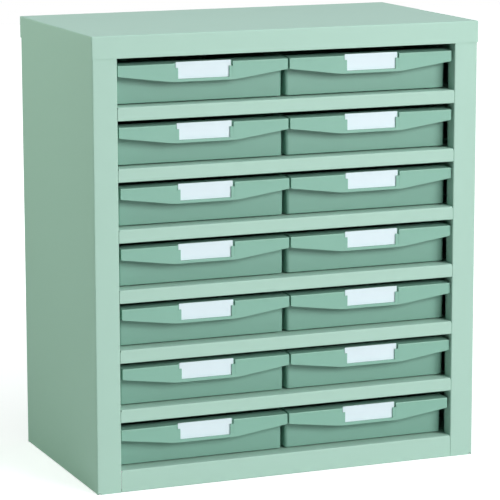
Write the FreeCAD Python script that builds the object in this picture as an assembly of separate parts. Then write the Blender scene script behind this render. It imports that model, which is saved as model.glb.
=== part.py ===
import FreeCAD, Part
import math
import os

# Metal drawer unit: a folded steel case with two columns of sliding plastic drawers.
# Lengths are millimetres. X runs to the right, Y to the back and Z up.
# The origin is the middle of the footprint, on the surface that the unit stands on.

# Rows of drawers, counted from the top
rows = 7
bottom_row_extra = 2.0
top_row_extra = 1.5

# Steel case
case_width = 550.0
case_depth = 305.0
case_height = 605.0
sheet = 1.0
inner_bend = 0.5
seam = 0.4
relief = 2.0
relief_offset = 2.0
corner_relief = 0.8

# Side panels with their front stiles
stile_width = 33.5
stile_return = 20.5
stile_tail = 10.0
rear_flange = 16.0
foot_flange = 20.0
head_flange = 15.0

# Top cap and the rail behind its skirt
cap_skirt = 29.5
cap_clearance = 0.1
rail_set_up = 1.0
rail_head = 12.0

# Shelves
bottom_rail = 30.0
bottom_fold = 15.0
shelf_lip = 18.0
lip_fold = 8.0
shelf_drop = 12.0
stile_clear = 1.0

# Back panel and its rivets
rivets_per_side = 4
rivet_shank_radius = 1.6
rivet_hole_play = 0.05
rivet_head_radius = 3.2
rivet_head_height = 0.9
rivet_end_radius = 2.3
rivet_end_length = 2.5
rivet_end_margin = 60.0

# Drawer guides on each shelf
guide_height = 12.0
guide_foot = 12.0
centre_foot = 5.0
guide_front_gap = 16.0
guide_back_gap = 12.0

# Drawers, which take their height from the clear height of a row
drawer_gap = 2.7
least_gap = 0.7
slide_clearance = 0.3
back_clearance = 0.5
lip_setback = 4.7
lip_reach = 18.2
lip_plate = 4.0
lip_fall = 1.5
lip_end_height = 14.2
lip_middle_height = 24.4
lip_flat = 88.0
lip_soft_radius = 120.0
lip_edge_radius = 1.5
lip_corner_radius = 2.0
lip_cheek = 2.0
rim_headroom = 7.3
rim_thickness = 2.0
rim_overhang = 1.0
side_draft = 0.5
tray_wall = 2.0
tray_floor = 2.0
tray_corner = 4.5
tray_inside_corner = 2.5
tray_bottom_radius = 0.8
tray_inside_radius = 0.6
skid_height = 1.2
skid_width = 6.0
skid_inset = 14.0
drawer_travel = 220.0
stop_clearance = 0.5
stop_hold = 6.0
lug_length = 12.0

# Sideways place of each row in the play between the stiles, from -1 to 1
row_lean = [-0.15, 0.3, 0.95, 0.85, 1.0, 1.0, -0.25]

# Label pocket in the drawer lip, and its card
card_width = 77.0
card_height = 22.0
card_thickness = 0.6
card_play = 0.1
pocket_side_play = 2.1
pocket_depth = 20.6
rail_width = 4.8
rail_thickness = 2.0
rail_drop = 6.2
rail_step = 0.25

# How far a cut passes the faces that it opens, and how near two points are one
cut_margin = 1.0
touching = 1e-6

# Sizes that follow from those above
bend = inner_bend + sheet
half_width = case_width / 2.0
front = -case_depth / 2.0
back = case_depth / 2.0
opening_half = half_width - stile_width
wall_inside = half_width - sheet
back_panel_half = half_width - bend - seam
back_panel_front = back - 2.0 * sheet
cap_half_width = half_width + cap_clearance + sheet
cap_half_depth = case_depth / 2.0 + cap_clearance + sheet
cap_bottom = case_height - cap_skirt
panel_top = case_height - sheet
wall_strip = 2.0 * bend

# Heights along the front: the rows share what the rails, the lips and the cap leave
rows_height = cap_bottom - top_row_extra - bottom_row_extra - bottom_rail
row_pitch = (rows_height + shelf_lip) / rows
row_clear = row_pitch - shelf_lip

# Heights in a drawer, counted from the shelf that carries it
rim_top = row_clear - rim_headroom
lip_top = rim_top - lip_fall
pocket_bottom = lip_top - pocket_depth
rail_top = lip_top - rail_drop
lug_top = row_clear + stop_hold
floor_bottom = slide_clearance + skid_height

# Places across and along a drawer
drawer_width = (2.0 * opening_half - 3.0 * drawer_gap) / 2.0
drawer_centre = (drawer_width + drawer_gap) / 2.0
lip_face = front + lip_setback
tray_front = lip_face + lip_reach
tray_back = back_panel_front - back_clearance
pocket_half = card_width / 2.0 + pocket_side_play


def shelf_top(row):
    """Height of the shelf face that carries a row of drawers."""
    if row == rows:
        return bottom_rail
    return bottom_rail + bottom_row_extra + (rows - row) * row_pitch


def vec(x, y, z):
    return FreeCAD.Vector(x, y, z)


def box(x0, x1, y0, y1, z0, z1):
    """Box between two corners."""
    return Part.makeBox(x1 - x0, y1 - y0, z1 - z0, vec(x0, y0, z0))


def mirrored(shape):
    """The same piece for the other side of the unit."""
    return shape.mirror(vec(0, 0, 0), vec(1, 0, 0))


def rounded_wire(corners, place):
    """Closed wire through (a, b, radius) corners, laid in space by place(a, b)."""
    edges = []
    count = len(corners)
    starts = []
    ends = []
    for i in range(count):
        a, b, radius = corners[i]
        pa, pb, _ = corners[i - 1]
        na, nb, _ = corners[(i + 1) % count]
        into = math.hypot(a - pa, b - pb)
        out = math.hypot(na - a, nb - b)
        ua, ub = (a - pa) / into, (b - pb) / into
        va, vb = (na - a) / out, (nb - b) / out
        turn = math.atan2(ua * vb - ub * va, ua * va + ub * vb)
        cut = abs(radius * math.tan(turn / 2.0))
        first = (a - ua * cut, b - ub * cut)
        last = (a + va * cut, b + vb * cut)
        starts.append(first)
        ends.append(last)
        if cut > touching:
            side = math.copysign(1.0, turn)
            centre = (first[0] - side * ub * radius, first[1] + side * ua * radius)
            toward = (a - centre[0], b - centre[1])
            reach = math.hypot(*toward)
            middle = (centre[0] + toward[0] * radius / reach, centre[1] + toward[1] * radius / reach)
            edges.append(Part.Arc(place(*first), place(*middle), place(*last)).toShape())
    for i in range(count):
        begin = ends[i - 1]
        finish = starts[i]
        if math.hypot(finish[0] - begin[0], finish[1] - begin[1]) > touching:
            edges.append(Part.LineSegment(place(*begin), place(*finish)).toShape())
    return Part.Wire(Part.__sortEdges__(edges))


def prism(corners, place, run):
    """Solid swept straight along run from a rounded outline."""
    return Part.Face(rounded_wire(corners, place)).extrude(run)


def folded(path, place, run):
    """Folded sheet whose outer faces follow path, with right-angled folds that all turn one way."""
    steps = []
    for (a0, b0), (a1, b1) in zip(path, path[1:]):
        length = math.hypot(a1 - a0, b1 - b0)
        steps.append(((a1 - a0) / length, (b1 - b0) / length))
    turn = steps[0][0] * steps[1][1] - steps[0][1] * steps[1][0]
    side = math.copysign(sheet, turn)
    normals = [(-side * b, side * a) for a, b in steps]
    outer = []
    inner = []
    last = len(path) - 1
    for i, (a, b) in enumerate(path):
        if i in (0, last):
            na, nb = normals[min(i, last - 1)]
            outer.append((a, b, 0.0))
            inner.append((a + na, b + nb, 0.0))
        else:
            (pa, pb), (na, nb) = normals[i - 1], normals[i]
            outer.append((a, b, bend))
            inner.append((a + pa + na, b + pb + nb, inner_bend))
    return prism(outer + inner[::-1], place, run)


def plan(a, b):
    """A point of a horizontal outline at height 0."""
    return vec(a, b, 0)


def export(name, shape):
    """Check a node's shape and write it."""
    if not shape.isValid():
        raise ValueError(name + " is not valid")
    shape.exportStep("parts/" + name + ".step")


# Case pieces


def edge_flange(level, upward, reach):
    """Fold along the bottom or top edge of the left side panel, with the strip of wall it grows from."""
    y0 = front + bend + relief
    y1 = back_panel_front - relief
    rise = level + upward * (wall_strip + cut_margin)
    path = [(-half_width, rise), (-half_width, level), (-half_width + reach, level)]
    return folded(path, lambda a, b: vec(a, y0, b), vec(0, y1 - y0, 0))


def rivet_places():
    """Heights of the rivets in each rear flange."""
    low = rivet_end_margin
    high = panel_top - rivet_end_margin
    return [low + (high - low) * i / (rivets_per_side - 1) for i in range(rivets_per_side)]


def rivet_x():
    """Distance of the rivets from the middle of the unit."""
    return half_width - rear_flange / 2.0


def cylinder(radius, x, y0, y1, z):
    """Cylinder along Y."""
    return Part.makeCylinder(radius, y1 - y0, vec(x, y0, z), vec(0, 1, 0))


def left_side_panel():
    """Side wall, front stile with its return, rear, foot and head flanges, in one folded sheet."""
    stile_edge = -half_width + stile_width
    path = [
        (-half_width + rear_flange, back),
        (-half_width, back),
        (-half_width, front),
        (stile_edge, front),
        (stile_edge, front + stile_return),
        (stile_edge - stile_tail, front + stile_return),
    ]
    panel = folded(path, plan, vec(0, 0, panel_top - bend))
    y0 = front + bend + relief
    y1 = back_panel_front - relief
    for level, upward, reach in ((0.0, 1.0, foot_flange), (panel_top, -1.0, head_flange)):
        low, high = sorted((level, level + upward * wall_strip))
        x0, x1 = -half_width - cut_margin, -half_width + sheet + cut_margin
        panel = panel.cut(box(x0, x1, y0, y1, low, high))
        panel = panel.fuse(edge_flange(level, upward, reach))
    notch_x = -half_width + relief_offset
    notch_back = front + sheet + cut_margin
    panel = panel.cut(box(notch_x, notch_x + relief, front - cut_margin, notch_back, -cut_margin, relief))
    radius = rivet_shank_radius + rivet_hole_play
    for z in rivet_places():
        panel = panel.cut(cylinder(radius, -rivet_x(), back - 2.0 * sheet, back + sheet, z))
    return panel.removeSplitter()


def cap_block(half_x, half_y, low, high, radius):
    """Block with round upright corners and round upper edges."""
    block = box(-half_x, half_x, -half_y, half_y, low, high)
    return block.makeFillet(radius, [e for e in block.Edges if e.BoundBox.ZMax > low + radius])


def top_cap():
    """Shallow tray turned over, whose skirt covers the top of the walls all round."""
    outer = cap_block(cap_half_width, cap_half_depth, cap_bottom, case_height, bend)
    inner_x = cap_half_width - sheet
    inner_y = cap_half_depth - sheet
    return outer.cut(cap_block(inner_x, inner_y, cap_bottom - cut_margin, panel_top, inner_bend))


def top_rail():
    """Channel between the stiles, behind the cap's skirt."""
    half = opening_half - seam
    low = cap_bottom + rail_set_up
    path = [(front + lip_fold, low), (front, low), (front, panel_top), (front + rail_head, panel_top)]
    return folded(path, lambda a, b: vec(-half, a, b), vec(2.0 * half, 0, 0))


def shelf(top, lip, fold):
    """Shelf plate with its front lip, the lip's fold, a rear flange and welded side wings."""
    half = opening_half - seam
    path = [
        (front + fold, top - lip),
        (front, top - lip),
        (front, top),
        (back_panel_front, top),
        (back_panel_front, top - shelf_drop),
    ]
    body = folded(path, lambda a, b: vec(-half, a, b), vec(2.0 * half, 0, 0))
    wing_front = front + stile_return + stile_clear
    wing_path = [(half - sheet, top), (wall_inside, top), (wall_inside, top - shelf_drop)]
    run = vec(0, back_panel_front - seam - wing_front, 0)
    wing = folded(wing_path, lambda a, b: vec(a, wing_front, b), run)
    body = body.fuse([wing, mirrored(wing)])
    x0, x1 = half - corner_relief, half + cut_margin
    reach = bend + corner_relief
    notch = box(x0, x1, front - cut_margin, front + reach, top - reach, top + cut_margin)
    return body.cut([notch, mirrored(notch)]).removeSplitter()


def back_panel():
    """Flat sheet against the rear flanges."""
    gap = sheet + seam
    low, high = gap, panel_top - gap
    panel = box(-back_panel_half, back_panel_half, back_panel_front, back_panel_front + sheet, low, high)
    radius = rivet_shank_radius + rivet_hole_play
    for z in rivet_places():
        for x in (-rivet_x(), rivet_x()):
            panel = panel.cut(cylinder(radius, x, back_panel_front - cut_margin, back, z))
    return panel


def rivet(x, z):
    """Blind rivet through a rear flange and the back panel."""
    tip = back_panel_front - rivet_end_length
    shank = cylinder(rivet_shank_radius, x, tip, back + rivet_head_height / 2.0, z)
    end = cylinder(rivet_end_radius, x, tip, back_panel_front, z)
    dome_radius = (rivet_head_radius ** 2 + rivet_head_height ** 2) / (2.0 * rivet_head_height)
    head_top = back + rivet_head_height
    dome = Part.makeSphere(dome_radius, vec(x, head_top - dome_radius, z))
    head = dome.common(cylinder(rivet_head_radius + cut_margin, x, back, head_top + cut_margin, z))
    return shank.fuse([end, head]).removeSplitter()


def guides(top):
    """Angle at each side and tee in the middle, which keep the drawers of one row in line."""
    y0 = tray_front + guide_front_gap
    run = vec(0, back_panel_front - guide_back_gap - y0, 0)
    path = [(opening_half + guide_foot, top), (opening_half, top), (opening_half, top + guide_height)]
    angle = folded(path, lambda a, b: vec(a, y0, b), run)
    foot = box(-centre_foot, centre_foot, y0, y0 + run.y, top, top + sheet)
    web = box(-sheet / 2.0, sheet / 2.0, y0, y0 + run.y, top, top + guide_height)
    return Part.makeCompound([mirrored(angle), foot.fuse(web).removeSplitter(), angle])


# Drawer pieces, made once about the drawer's own middle and the shelf's height


def tray_outline(half, y0, y1, radius, z):
    """Wire of a horizontal rectangle with round corners."""
    corners = [(-half, y0, radius), (half, y0, radius), (half, y1, radius), (-half, y1, radius)]
    return rounded_wire(corners, lambda a, b: vec(a, b, z))


def tray_block(inset, corner, bottom, top):
    """The tray's drafted form with round upright corners, drawn in by inset on its four sides."""
    half_top = drawer_width / 2.0 - rim_overhang - inset
    rear = tray_back - rim_overhang - inset
    low = tray_outline(half_top - side_draft, tray_front + inset, rear, corner, bottom)
    high = tray_outline(half_top, tray_front + inset, rear, corner, top)
    return Part.makeLoft([low, high], True, True)


def soft_bottom(block, bottom, radius):
    """Round the lowest edges of a tray block."""
    edges = [e for e in block.Edges if e.BoundBox.ZMax < bottom + radius]
    return block.makeFillet(radius, edges)


def lip():
    """Pull at the drawer's front: a hanging plate with shaped lower edge, a web, cheeks and a back."""
    half = drawer_width / 2.0
    low = lip_top - lip_middle_height
    web_under = lip_top - rim_thickness
    wall_back = tray_front + tray_wall
    section = [
        (lip_face, low, 0.0),
        (lip_face + lip_plate, low, 0.0),
        (lip_face + lip_plate, web_under, 0.0),
        (tray_front, rim_top - rim_thickness, 0.0),
        (wall_back, rim_top - rim_thickness, 0.0),
        (wall_back, rim_top, 0.0),
        (tray_front, rim_top, 0.0),
        (lip_face, lip_top, lip_edge_radius),
    ]
    hook = prism(section, lambda a, b: vec(-half, a, b), vec(2.0 * half, 0, 0))
    cheek = box(half - lip_cheek, half, lip_face + lip_plate / 2.0, wall_back, low, web_under)
    rear = box(-half, half, tray_front, wall_back, low, web_under)
    hook = hook.fuse([cheek, mirrored(cheek), rear])
    end_low = lip_top - lip_end_height
    corner = lip_corner_radius
    front_view = [
        (-half, end_low, corner),
        (-lip_flat / 2.0, low, lip_soft_radius),
        (lip_flat / 2.0, low, lip_soft_radius),
        (half, end_low, corner),
        (half, rim_top, corner),
        (-half, rim_top, corner),
    ]
    y0 = lip_face - cut_margin
    trim = prism(front_view, lambda a, b: vec(a, y0, b), vec(0, wall_back + cut_margin - y0, 0))
    return hook.common(trim)


def label_cuts():
    """Room for the card: a shallow step, a window with side rails, and the card's own slot."""
    top = rim_top + cut_margin
    y0 = lip_face - cut_margin
    slot_front = lip_face + rail_thickness
    slot_back = slot_front + card_thickness + 2.0 * card_play
    window_half = pocket_half - rail_width
    return [
        box(-pocket_half, pocket_half, y0, lip_face + rail_step, pocket_bottom, top),
        box(-window_half, window_half, y0, slot_back, pocket_bottom, top),
        box(-pocket_half, pocket_half, y0, slot_back, rail_top, top),
        box(-pocket_half, pocket_half, slot_front, slot_back, pocket_bottom, top),
    ]


def lug_front():
    """Place along Y of the stop lugs' front faces, which meet the fold of the lip above."""
    return front + lip_fold + stop_clearance + drawer_travel


def drawer_tray():
    """One moulded drawer: tray, rim, pull with label pocket, skids and stop lugs."""
    body = tray_block(0.0, tray_corner, floor_bottom, rim_top)
    body = soft_bottom(body, floor_bottom, tray_bottom_radius)
    half = drawer_width / 2.0
    rim_low = rim_top - rim_thickness
    rim = [
        (-half, tray_front + tray_wall, 0.0),
        (half, tray_front + tray_wall, 0.0),
        (half, tray_back, tray_corner),
        (-half, tray_back, tray_corner),
    ]
    rim_plate = prism(rim, lambda a, b: vec(a, b, rim_low), vec(0, 0, rim_thickness))
    y0 = lug_front()
    lug = box(half - rim_overhang - tray_wall, half, y0, y0 + lug_length, rim_low, lug_top)
    body = body.fuse([rim_plate, lip(), lug, mirrored(lug)])
    inside_bottom = floor_bottom + tray_floor
    inside = tray_block(tray_wall, tray_inside_corner, inside_bottom, rim_top + cut_margin)
    inside = soft_bottom(inside, inside_bottom, tray_inside_radius)
    body = body.cut([inside] + label_cuts())
    skid_x = half - rim_overhang - side_draft - skid_inset
    skid_front = tray_front + tray_corner
    skid_back = tray_back - rim_overhang - tray_corner
    skid_top = floor_bottom + tray_floor / 2.0
    skid = box(skid_x - skid_width, skid_x, skid_front, skid_back, slide_clearance, skid_top)
    return body.fuse([skid, mirrored(skid)]).removeSplitter()


def label_card():
    """Plain card that stands in the label pocket."""
    y0 = lip_face + rail_thickness + card_play
    low = pocket_bottom + card_play
    return box(-card_width / 2.0, card_width / 2.0, y0, y0 + card_thickness, low, low + card_height)


def write_case():
    """Write the nodes of the fixed case."""
    panel = left_side_panel()
    export("left_side_panel", panel)
    export("right_side_panel", mirrored(panel))
    export("top_cap", top_cap())
    export("top_rail", top_rail())
    export("back_panel", back_panel())
    rivets = [rivet(x, z) for z in rivet_places() for x in (-rivet_x(), rivet_x())]
    export("back_panel_rivets", Part.makeCompound(rivets))
    for row in range(1, rows + 1):
        top = shelf_top(row)
        if row == rows:
            export("bottom_shelf", shelf(top, bottom_rail, bottom_fold))
        else:
            export("shelf_" + str(row), shelf(top, shelf_lip, lip_fold))
        export("drawer_guides_" + str(row), guides(top))


def write_drawers():
    """Write each drawer and its label card."""
    tray = drawer_tray()
    card = label_card()
    for row in range(1, rows + 1):
        lean = row_lean[(row - 1) % len(row_lean)] * (drawer_gap - least_gap)
        for side, sign in (("left", -1.0), ("right", 1.0)):
            shift = vec(sign * drawer_centre + lean, 0, shelf_top(row))
            name = str(row) + "_" + side
            export("drawer_" + name, tray.translated(shift))
            export("label_" + name, card.translated(shift))


write_case()
write_drawers()
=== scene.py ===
"""Looks of a metal drawer unit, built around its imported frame.

A folded and painted steel case holds two columns of seven moulded drawers. Each drawer
has a hanging pull with a shaped lower edge and a pocket with a blank label card.
Lengths are metres, X runs to the right, Y to the back and Z up.
"""

import logging
import math
from collections.abc import Callable, Sequence
from dataclasses import dataclass
from enum import Enum

import bmesh
import bpy
from mathutils import Matrix, Vector


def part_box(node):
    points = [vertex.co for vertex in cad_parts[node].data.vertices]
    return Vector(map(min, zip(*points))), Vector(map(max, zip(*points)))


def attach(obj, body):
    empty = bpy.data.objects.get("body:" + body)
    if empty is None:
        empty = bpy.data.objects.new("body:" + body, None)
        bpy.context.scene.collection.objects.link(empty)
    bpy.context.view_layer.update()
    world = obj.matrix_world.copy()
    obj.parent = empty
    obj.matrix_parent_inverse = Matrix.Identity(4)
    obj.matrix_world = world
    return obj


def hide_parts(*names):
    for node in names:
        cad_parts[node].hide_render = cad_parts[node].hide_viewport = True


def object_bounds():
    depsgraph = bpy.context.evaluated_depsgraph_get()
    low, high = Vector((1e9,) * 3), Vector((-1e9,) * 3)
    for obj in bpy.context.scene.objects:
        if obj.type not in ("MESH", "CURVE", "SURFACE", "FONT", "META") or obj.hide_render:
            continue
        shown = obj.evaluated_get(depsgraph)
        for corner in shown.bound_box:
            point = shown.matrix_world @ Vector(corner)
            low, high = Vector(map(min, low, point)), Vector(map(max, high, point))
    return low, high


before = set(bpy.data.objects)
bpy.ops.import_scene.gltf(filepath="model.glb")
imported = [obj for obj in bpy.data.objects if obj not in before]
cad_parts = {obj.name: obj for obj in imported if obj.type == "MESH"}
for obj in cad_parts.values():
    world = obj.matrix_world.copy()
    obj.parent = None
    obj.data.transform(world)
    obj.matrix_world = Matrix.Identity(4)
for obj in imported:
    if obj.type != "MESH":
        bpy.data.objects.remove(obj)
cad_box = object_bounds()
log = logging.getLogger("drawer_unit")

# How near two points are one, and the decimals to which two distances are told apart
WELD = 1e-6
DIGITS = 6
WHITE = (1.0, 1.0, 1.0, 1.0)

UP = Vector((0.0, 0.0, 1.0))
DOWN = Vector((0.0, 0.0, -1.0))
FRONT = Vector((0.0, -1.0, 0.0))
REAR = Vector((0.0, 1.0, 0.0))

# A point of a flat outline, a corner of one with its radius, and a colour or a place
Point = tuple[float, float]
Corner = tuple[float, float, float]
Triple = tuple[float, float, float]


class Side(Enum):
    """The two sides of the unit, seen from the front, with the sign of their X."""

    LEFT = -1.0
    RIGHT = 1.0

    @property
    def word(self) -> str:
        """The side's name as the frame writes it."""
        return self.name.lower()


class Join(Enum):
    """Ways in which one solid is worked with another, by the Boolean modifier's own words."""

    ADD = "UNION"
    CUT = "DIFFERENCE"
    SHARE = "INTERSECT"


def outline(corners: Sequence[Corner], steps: int, closed: bool) -> list[Point]:
    """Run straight from corner to corner and round each one.

    Args:
        corners: The (a, b, radius) corners in order; a radius of 0 leaves a corner sharp.
        steps: Short runs in each rounded corner.
        closed: Whether the last corner joins the first.

    Returns:
        The (a, b) points of the rounded line.
    """
    points: list[Point] = []
    count = len(corners)
    for i, (a, b, radius) in enumerate(corners):
        if radius == 0.0 or (not closed and i in (0, count - 1)):
            points.append((a, b))
            continue
        here = Vector((a, b))
        before = (Vector(corners[i - 1][:2]) - here).normalized()
        after = (Vector(corners[(i + 1) % count][:2]) - here).normalized()
        half = before.angle(after) / 2.0
        centre = here + (before + after).normalized() * radius / math.sin(half)
        start = here + before * radius / math.tan(half) - centre
        end = here + after * radius / math.tan(half) - centre
        sweep = math.atan2(start.x * end.y - start.y * end.x, start.dot(end))
        for k in range(steps + 1):
            spoke = Matrix.Rotation(sweep * k / steps, 2) @ start
            points.append((centre.x + spoke.x, centre.y + spoke.y))
    return points


class Surface:
    """Faces of one mesh, laid as grids and caps that are welded where they meet."""

    def __init__(self) -> None:
        """Start with no faces."""
        self.bm = bmesh.new()

    def grid(
        self,
        rows: Sequence[Sequence[Vector]],
        keep: Callable[[int, int], bool] = lambda i, j: True,
        closed: bool = False,
    ) -> None:
        """Lay quads between rows of points.

        Args:
            rows: Rows with the same number of points.
            keep: Says whether the cell after row i and point j gets a face.
            closed: Whether each row runs round to its first point.
        """
        lines = [[self.bm.verts.new(p) for p in row] for row in rows]
        for i, (low, high) in enumerate(zip(lines, lines[1:])):
            for j in range(len(low) if closed else len(low) - 1):
                k = (j + 1) % len(low)
                if keep(i, j):
                    self.bm.faces.new((low[j], low[k], high[k], high[j]))

    def cap(self, ring: Sequence[Vector]) -> None:
        """Close a ring of points with one flat face."""
        self.bm.faces.new([self.bm.verts.new(p) for p in ring])

    def loft(self, rings: Sequence[Sequence[Vector]]) -> None:
        """Skin closed rings in order, and cap the first and the last.

        Args:
            rings: Rings with the same number of points.
        """
        self.grid(rings, closed=True)
        self.cap(rings[0])
        self.cap(rings[-1])

    def piece(self, name: str, outward: Vector) -> bpy.types.Object:
        """Weld the faces, turn them all the same way and put them in the scene.

        Args:
            name: Name of the object and its mesh.
            outward: A direction; the face that lies farthest along it faces along it too.

        Returns:
            The object, at the origin.
        """
        bm = self.bm
        bmesh.ops.remove_doubles(bm, verts=bm.verts, dist=WELD)
        bmesh.ops.dissolve_degenerate(bm, edges=bm.edges, dist=WELD)
        bmesh.ops.delete(bm, geom=[v for v in bm.verts if not v.link_faces], context="VERTS")
        bmesh.ops.recalc_face_normals(bm, faces=bm.faces)
        bm.normal_update()
        outermost = max(
            bm.faces,
            key=lambda face: (round(face.calc_center_median().dot(outward), DIGITS), face.calc_area()),
        )
        if outermost.normal.dot(outward) < 0.0:
            bmesh.ops.reverse_faces(bm, faces=bm.faces)
        mesh = bpy.data.meshes.new(name)
        bm.to_mesh(mesh)
        bm.free()
        return placed(name, mesh)


def placed(name: str, mesh: bpy.types.Mesh) -> bpy.types.Object:
    """Put a mesh in the scene as an object at the origin.

    Args:
        name: Name of the object.
        mesh: The mesh that it shows.

    Returns:
        The object.
    """
    obj = bpy.data.objects.new(name, mesh)
    bpy.context.scene.collection.objects.link(obj)
    return obj


def settled(obj: bpy.types.Object) -> bpy.types.Object:
    """Turn an object with modifiers into a plain mesh object.

    Args:
        obj: The object, which keeps its name.

    Returns:
        The same object, without modifiers.
    """
    graph = bpy.context.evaluated_depsgraph_get()
    graph.update()
    made = obj.evaluated_get(graph)
    mesh = bpy.data.meshes.new_from_object(made, preserve_all_data_layers=True, depsgraph=graph)
    mesh.name = obj.name
    obj.modifiers.clear()
    obj.data = mesh
    return obj


def discard(*objects: bpy.types.Object) -> None:
    """Remove helper objects from the scene."""
    for obj in objects:
        bpy.data.objects.remove(obj)


def block(name: str, low: Sequence[float], high: Sequence[float]) -> bpy.types.Object:
    """Make a box between two corners.

    Args:
        name: Name of the solid.
        low: Its lowest corner.
        high: Its highest corner.

    Returns:
        The helper solid.
    """
    x0, y0, z0 = low
    x1, y1, z1 = high
    corners = ((x0, y0), (x1, y0), (x1, y1), (x0, y1))
    surface = Surface()
    surface.loft([[Vector((x, y, z)) for x, y in corners] for z in (z0, z1)])
    return surface.piece(name, UP)


def prism(
    name: str,
    corners: Sequence[Corner],
    steps: int,
    place: Callable[[float, float], Vector],
    run: Vector,
) -> bpy.types.Object:
    """Sweep a flat outline straight along a run.

    Args:
        name: Name of the solid.
        corners: The (a, b, radius) corners of the outline.
        steps: Short runs in each rounded corner.
        place: Lays a point of the outline in space.
        run: Where the sweep goes to.

    Returns:
        The helper solid.
    """
    surface = Surface()
    ring = [place(a, b) for a, b in outline(corners, steps, True)]
    surface.loft([ring, [p + run for p in ring]])
    return surface.piece(name, run.normalized())


def worked(base: bpy.types.Object, tools: Sequence[bpy.types.Object], how: Join) -> bpy.types.Object:
    """Add tools to a solid, cut them from it, or keep what they share.

    Args:
        base: The solid that is worked on.
        tools: Solids that are used up.
        how: What is done with each of them.

    Returns:
        The base, as a plain mesh.
    """
    for tool in tools:
        modifier = base.modifiers.new(how.name.lower(), "BOOLEAN")
        modifier.operation = how.value
        modifier.solver = "EXACT"
        modifier.object = tool
    settled(base)
    discard(*tools)
    return base


def softened(obj: bpy.types.Object, radius: float, steps: int = 2, angle: float = 50.0) -> bpy.types.Object:
    """Round an object's sharp edges.

    Args:
        obj: The object.
        radius: Size of the rounding.
        steps: Facets across it.
        angle: Least turn of an edge that is rounded, in degrees.

    Returns:
        The object, as a plain mesh.
    """
    bevel = obj.modifiers.new("soft_edges", "BEVEL")
    bevel.width = radius
    bevel.segments = steps
    bevel.limit_method = "ANGLE"
    bevel.angle_limit = math.radians(angle)
    bevel.miter_outer = "MITER_ARC"
    return settled(obj)


def shaded(obj: bpy.types.Object, angle: float = 40.0) -> bpy.types.Object:
    """Shade curved faces smooth, and keep flat faces flat beside them.

    Args:
        obj: The object.
        angle: Turn past which an edge stays sharp, in degrees.

    Returns:
        The object, as a plain mesh.
    """
    obj.data.polygons.foreach_set("use_smooth", [True] * len(obj.data.polygons))
    obj.data.set_sharp_from_angle(angle=math.radians(angle))
    weighting = obj.modifiers.new("flat_faces", "WEIGHTED_NORMAL")
    weighting.keep_sharp = True
    return settled(obj)


def mark_rub(piece: bpy.types.Object, amount: Callable[[Vector], float]) -> None:
    """Store each vertex's share of its finish's paler tone: wear on the guides, painted light on the pulls.

    Args:
        piece: The mesh object.
        amount: Gives the share of the paler tone, from 0 to 1, at a place.
    """
    rub = piece.data.attributes.new("rub", "FLOAT", "POINT")
    for vertex, mark in zip(piece.data.vertices, rub.data):
        mark.value = amount(vertex.co)


class TreeMaker:
    """Adds and joins the nodes of one tree."""

    def __init__(self, tree: bpy.types.NodeTree) -> None:
        """Start on an empty tree."""
        self.tree = tree
        tree.nodes.clear()

    def node(
        self, kind: str, inputs: dict[str | int, object] | None = None, **settings: object
    ) -> bpy.types.Node:
        """Add a node.

        Args:
            kind: Blender's name for the node.
            inputs: Values or output sockets for its inputs, by the input's name or number.
            **settings: The node's own properties.

        Returns:
            The node.
        """
        node = self.tree.nodes.new(kind)
        for key, value in settings.items():
            setattr(node, key, value)
        for key, value in (inputs or {}).items():
            if isinstance(value, bpy.types.NodeSocket):
                self.tree.links.new(value, node.inputs[key])
            else:
                node.inputs[key].default_value = value
        return node

    def math(self, operation: str, *values: object) -> bpy.types.NodeSocket:
        """Work one value out of others with a Math node."""
        return self.node("ShaderNodeMath", dict(enumerate(values)), operation=operation).outputs["Value"]

    def sockets(self, in_out: str, kinds: dict[str, str]) -> None:
        """Give the tree named inputs or outputs.

        Args:
            in_out: INPUT or OUTPUT.
            kinds: The kind of each socket by its name.
        """
        for name, kind in kinds.items():
            self.tree.interface.new_socket(name=name, in_out=in_out, socket_type="NodeSocket" + kind)


class RepeatTree:
    """Geometry Nodes tree that repeats a pattern object at every point of its host."""

    def __init__(self) -> None:
        """Build the tree with its named inputs."""
        self.tree = bpy.data.node_groups.new("repeat_at_points", "GeometryNodeTree")
        maker = TreeMaker(self.tree)
        maker.sockets("INPUT", {"Geometry": "Geometry", "Pattern": "Object", "Material": "Material"})
        maker.sockets("OUTPUT", {"Geometry": "Geometry"})
        given = maker.node("NodeGroupInput").outputs
        pattern = self.pattern(maker, given)
        copies = maker.node(
            "GeometryNodeInstanceOnPoints", {"Points": given["Geometry"], "Instance": pattern}
        ).outputs["Instances"]
        real = maker.node("GeometryNodeRealizeInstances", {"Geometry": copies}).outputs["Geometry"]
        painted = maker.node("GeometryNodeSetMaterial", {"Geometry": real, "Material": given["Material"]})
        maker.node("NodeGroupOutput", {"Geometry": painted.outputs["Geometry"]})

    def pattern(self, maker: TreeMaker, given: bpy.types.NodeOutputs) -> bpy.types.NodeSocket:
        """The solid that is repeated: the pattern object as it is."""
        return maker.node("GeometryNodeObjectInfo", {"Object": given["Pattern"]}).outputs["Geometry"]

    def run(
        self,
        name: str,
        points: Sequence[Vector],
        pattern: bpy.types.Object,
        material: bpy.types.Material,
        **sizes: float,
    ) -> bpy.types.Object:
        """Repeat a pattern, which is used up.

        Args:
            name: Name of the new object.
            points: Where the copies go.
            pattern: The object that is repeated.
            material: What the copies are made of.
            **sizes: The tree's other inputs by name.

        Returns:
            The copies, as one plain mesh object.
        """
        mesh = bpy.data.meshes.new(name)
        mesh.from_pydata([tuple(p) for p in points], [], [])
        host = placed(name, mesh)
        modifier = host.modifiers.new(self.tree.name, "NODES")
        modifier.node_group = self.tree
        values = {"Pattern": pattern, "Material": material, **sizes}
        for item in self.tree.interface.items_tree:
            if item.in_out == "INPUT" and item.name in values:
                modifier[item.identifier] = values[item.name]
        settled(host)
        discard(pattern)
        return host


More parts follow.
